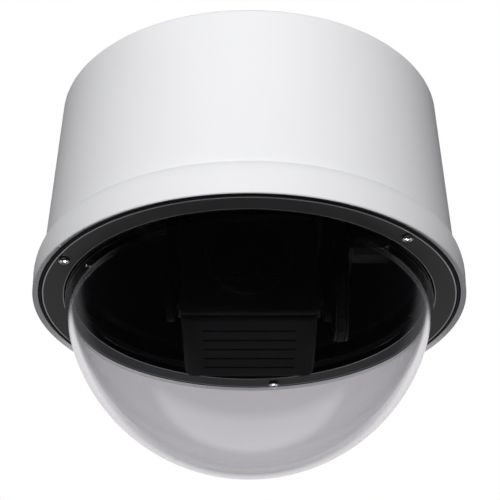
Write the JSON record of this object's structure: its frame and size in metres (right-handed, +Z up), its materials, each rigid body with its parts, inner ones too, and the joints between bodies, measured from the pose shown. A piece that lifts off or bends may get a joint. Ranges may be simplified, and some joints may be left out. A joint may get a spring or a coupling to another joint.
{
  "type": "ptz dome camera",
  "caption": "Round white pendant housing with a flared lip, black trim ring and clear hemispherical dome over a camera head that pans, tilts, zooms and focuses.",
  "frame": {"origin": "centre of the mounting collar's top face, where the pendant pipe enters", "axes": "+Z up along the pan axis, -Y towards the front where the lens points at rest, +X to the right seen from the front"},
  "size_m": [0.2088, 0.2088, 0.2182],
  "materials": {
    "white_paint": "fine powder coat, satin",
    "black_ring": "satin black paint",
    "black_plastic": "matt black",
    "seal_rubber": "matt",
    "clear_dome": "clear moulded polycarbonate, polished",
    "lens_glass": "coated lens glass",
    "filter_glass": "coated filter glass",
    "stainless": "bright",
    "blackened_metal": "matt black",
    "bare_aluminium": "machined",
    "circuit_board": "solder mask",
    "terminal_plastic": "moulded"
  },
  "bodies": {
    "root": {"mounting_collar": "white_paint", "collar_gasket": "seal_rubber", "collar_screw_1": "stainless", "collar_screw_2": "stainless", "collar_screw_3": "stainless", "collar_screw_4": "stainless", "housing_shell": "white_paint", "chassis_ring": "black_ring", "lip_gasket": "seal_rubber", "trim_ring": "black_ring", "trim_screw_1": "stainless", "trim_screw_2": "stainless", "trim_screw_3": "stainless", "dome": "clear_dome", "dome_gasket": "seal_rubber", "inner_liner": "black_plastic", "chassis_plate": "bare_aluminium", "standoff_1": "stainless", "standoff_2": "stainless", "standoff_3": "stainless", "board_rail_left": "black_plastic", "board_rail_right": "black_plastic", "main_board": "circuit_board", "terminal_block": "terminal_plastic", "heater": "bare_aluminium", "fan_frame": "black_plastic", "pan_spindle": "stainless", "pan_bearing_inner": "stainless", "slip_ring_stator": "black_plastic", "pan_motor": "stainless", "pan_belt": "seal_rubber"},
    "fan": {"fan_rotor": "black_plastic"},
    "pan_drive": {"pan_motor_pulley": "bare_aluminium"},
    "pan_unit": {"turntable": "black_plastic", "pan_bearing_outer": "blackened_metal", "pan_pulley": "blackened_metal", "slip_ring_rotor": "black_plastic", "yoke_arm_left": "black_plastic", "yoke_arm_right": "black_plastic", "tilt_bush_left": "blackened_metal", "tilt_bush_right": "blackened_metal", "tilt_motor_bracket": "blackened_metal", "tilt_motor": "blackened_metal", "tilt_belt": "seal_rubber"},
    "tilt_drive": {"tilt_motor_pulley": "blackened_metal"},
    "camera_head": {"camera_case": "black_plastic", "camera_bezel": "black_plastic", "trunnion_left": "blackened_metal", "trunnion_right": "blackened_metal", "tilt_pulley": "blackened_metal", "lens_barrel": "black_plastic", "front_lens": "lens_glass", "guide_rod_upper": "blackened_metal", "guide_rod_lower": "blackened_metal", "image_sensor": "black_plastic", "sensor_board": "circuit_board", "encoder_board": "circuit_board"},
    "zoom_carriage": {"zoom_group": "black_plastic"},
    "focus_carriage": {"focus_group": "black_plastic"},
    "filter_slide": {"ir_filter": "filter_glass"}
  },
  "joints": [
    {"name": "pan", "type": "hinge", "parent": "root", "child": "pan_unit", "pos_m": [0, 0, -0.0745], "axis": [0, 0, 1], "continuous": true},
    {"name": "pan_motor_spin", "type": "hinge", "parent": "root", "child": "pan_drive", "pos_m": [-0.05, 0, -0.0695], "axis": [0, 0, 1], "continuous": true},
    {"name": "tilt", "type": "hinge", "parent": "pan_unit", "child": "camera_head", "pos_m": [0, 0, -0.1305], "axis": [1, 0, 0], "range_deg": [-5, 90]},
    {"name": "tilt_motor_spin", "type": "hinge", "parent": "pan_unit", "child": "tilt_drive", "pos_m": [0, 0, -0.0965], "axis": [1, 0, 0], "range_deg": [-20, 360]},
    {"name": "zoom_travel", "type": "slide", "parent": "camera_head", "child": "zoom_carriage", "axis": [0, 1, 0], "range_m": [0, 0.012]},
    {"name": "focus_travel", "type": "slide", "parent": "camera_head", "child": "focus_carriage", "axis": [0, 1, 0], "range_m": [0, 0.006]},
    {"name": "filter_shift", "type": "slide", "parent": "camera_head", "child": "filter_slide", "axis": [1, 0, 0], "range_m": [0, 0.015]},
    {"name": "fan_spin", "type": "hinge", "parent": "root", "child": "fan", "pos_m": [0, -0.045, -0.0522], "axis": [0, 0, 1], "continuous": true}
  ],
  "couplings": [
    {"joint": "pan_motor_spin", "follows": "pan", "ratio": 5},
    {"joint": "tilt_motor_spin", "follows": "tilt", "ratio": 4}
  ]
}
